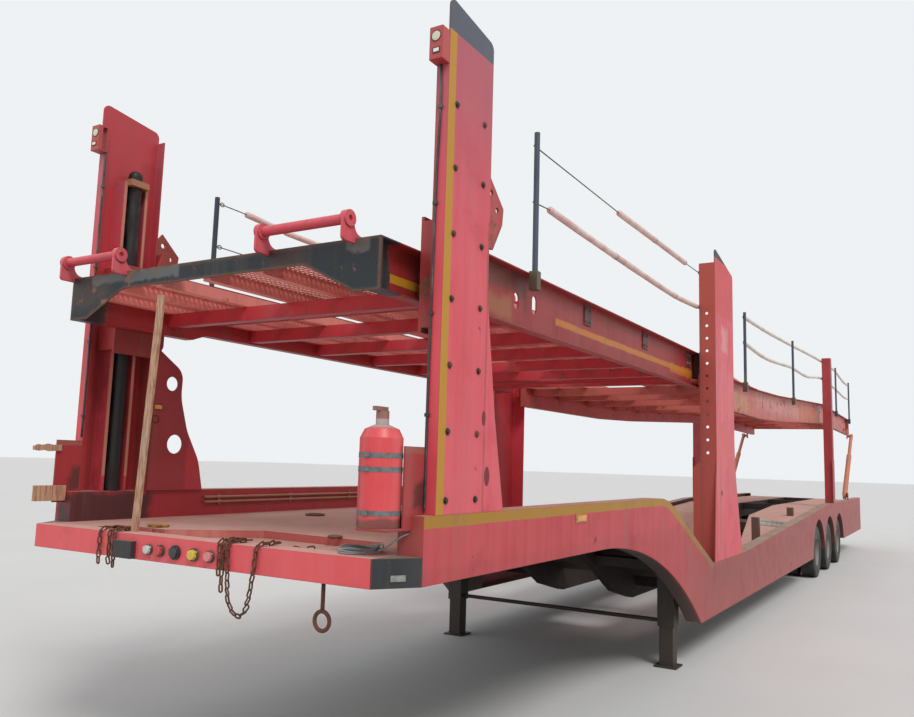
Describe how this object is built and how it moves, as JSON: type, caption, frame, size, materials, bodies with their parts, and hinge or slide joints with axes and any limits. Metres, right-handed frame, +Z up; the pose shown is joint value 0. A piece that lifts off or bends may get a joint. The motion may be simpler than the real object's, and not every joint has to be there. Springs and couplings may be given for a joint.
{
  "type": "car transporter semi-trailer",
  "caption": "Two-deck car transporter semi-trailer with tilting upper decks, gooseneck, lift columns, landing legs and twin-tyred axles.",
  "frame": {"origin": "bottom centre of the whole trailer, on the ground", "axes": "+X towards the front, +Y to the left, +Z up"},
  "size_m": [18.2, 2.5, 3.77],
  "materials": {
    "red_paint": "faded red paint, chalky, with scratches and rust runs",
    "floor_red": "red floor paint worn by tyres",
    "black_paint": "worn black paint",
    "cylinder_black": "greasy black paint",
    "bare_steel": "bare worn steel",
    "rusted_steel": "rusted steel with grease",
    "axle_black": "dusty black chassis paint",
    "post_grey": "dark blue-grey paint",
    "extinguisher_red": "red enamel",
    "leg_grey": "dirty dark paint over steel",
    "strut_ochre": "orange-red faded paint",
    "coupling_mix": "weathered plastic and metal couplings",
    "black_rubber": "dusty black rubber",
    "lamp_plastic": "dusty lamp housings and lenses",
    "pipe_tan": "tan brake pipes",
    "dusty_steel": "dusty pale paint over steel",
    "raw_wood": "raw pale softwood",
    "rope_grey": "grey-green fibre rope",
    "foam_sleeve": "sun-bleached foam sleeves over wire rope",
    "rim_paint": "grey rim paint, dusty",
    "tyre_rubber": "worn road tyre rubber"
  },
  "bodies": {
    "chassis": {"air_springs": "black_rubber", "axles": "axle_black", "beam_corners": "black_paint", "bottle_holders": "red_paint", "chains": "rusted_steel", "couplings": "coupling_mix", "cross_members": "red_paint", "extinguisher": "extinguisher_red", "floor_stands": "dusty_steel", "front_beam": "red_paint", "front_columns": "red_paint", "kingpin": "bare_steel", "lamps": "lamp_plastic", "landing_legs": "leg_grey", "leaning_lath": "raw_wood", "leg_beams": "red_paint", "lift_cylinders": "cylinder_black", "loose_gear": "rusted_steel", "low_floor": "floor_red", "mid_columns": "red_paint", "mud_flaps": "black_rubber", "neck_floor": "floor_red", "neck_pipes": "pipe_tan", "rails": "red_paint", "rear_columns": "red_paint", "rear_panel": "red_paint", "rope_coil": "rope_grey", "rope_line": "rope_grey", "side_frame_left": "red_paint", "side_frame_right": "red_paint", "strut_brackets": "red_paint", "suspension_arms": "axle_black", "valve_box": "black_paint"},
    "aft_deck": {"aft_deck_beams": "red_paint", "aft_deck_floor": "floor_red", "aft_deck_members": "red_paint", "aft_deck_posts": "post_grey", "aft_deck_ropes": "foam_sleeve"},
    "carriages": {"carriages": "rusted_steel"},
    "front_deck": {"deck_nose": "black_paint", "front_deck_beams": "red_paint", "front_deck_floor": "floor_red", "front_deck_members": "red_paint", "front_deck_posts": "post_grey", "front_deck_ropes": "foam_sleeve", "wheel_stops": "red_paint"},
    "wheel_1_left": {"rim_1_left": "rim_paint", "tyres_1_left": "tyre_rubber"},
    "wheel_1_right": {"rim_1_right": "rim_paint", "tyres_1_right": "tyre_rubber"},
    "wheel_2_left": {"rim_2_left": "rim_paint", "tyres_2_left": "tyre_rubber"},
    "wheel_2_right": {"rim_2_right": "rim_paint", "tyres_2_right": "tyre_rubber"},
    "wheel_3_left": {"rim_3_left": "rim_paint", "tyres_3_left": "tyre_rubber"},
    "wheel_3_right": {"rim_3_right": "rim_paint", "tyres_3_right": "tyre_rubber"},
    "strut_barrels": {"strut_barrels": "red_paint"},
    "strut_rods": {"strut_rods": "strut_ochre"}
  },
  "joints": [
    {"name": "wheel_1_left_spin", "type": "hinge", "parent": "chassis", "child": "wheel_1_left", "pos_m": [-2.57, 0.975, 0.3985], "axis": [0, 1, 0], "continuous": true},
    {"name": "wheel_1_right_spin", "type": "hinge", "parent": "chassis", "child": "wheel_1_right", "pos_m": [-2.57, -0.975, 0.3985], "axis": [0, 1, 0], "continuous": true},
    {"name": "wheel_2_left_spin", "type": "hinge", "parent": "chassis", "child": "wheel_2_left", "pos_m": [-3.88, 0.975, 0.3985], "axis": [0, 1, 0], "continuous": true},
    {"name": "wheel_2_right_spin", "type": "hinge", "parent": "chassis", "child": "wheel_2_right", "pos_m": [-3.88, -0.975, 0.3985], "axis": [0, 1, 0], "continuous": true},
    {"name": "wheel_3_left_spin", "type": "hinge", "parent": "chassis", "child": "wheel_3_left", "pos_m": [-5.19, 0.975, 0.3985], "axis": [0, 1, 0], "continuous": true},
    {"name": "wheel_3_right_spin", "type": "hinge", "parent": "chassis", "child": "wheel_3_right", "pos_m": [-5.19, -0.975, 0.3985], "axis": [0, 1, 0], "continuous": true},
    {"name": "front_deck_tilt", "type": "hinge", "parent": "chassis", "child": "front_deck", "pos_m": [3.895, 0, 2.46], "axis": [0, -1, 0], "range_deg": [-4.5, 8]},
    {"name": "aft_deck_tilt", "type": "hinge", "parent": "chassis", "child": "aft_deck", "pos_m": [3.295, 0, 2.46], "axis": [0, 1, 0], "range_deg": [-4, 3]},
    {"name": "carriages_lift", "type": "slide", "parent": "chassis", "child": "carriages", "axis": [0, 0, 1], "range_m": [-0.37, 0.66]},
    {"name": "struts_swing", "type": "hinge", "parent": "chassis", "child": "strut_barrels", "pos_m": [-7, 0, 1.17], "axis": [0, 1, 0], "range_deg": [-18.5, 14]},
    {"name": "struts_slide", "type": "slide", "parent": "strut_barrels", "child": "strut_rods", "axis": [-0.7809, 0, 0.6247], "range_m": [-0.49, 0.37]}
  ],
  "couplings": [
    {"joint": "carriages_lift", "follows": "front_deck_tilt", "m_per_rad": 4.695},
    {"joint": "struts_swing", "follows": "aft_deck_tilt", "ratio": 4.6},
    {"joint": "struts_slide", "follows": "aft_deck_tilt", "m_per_rad": 7}
  ]
}
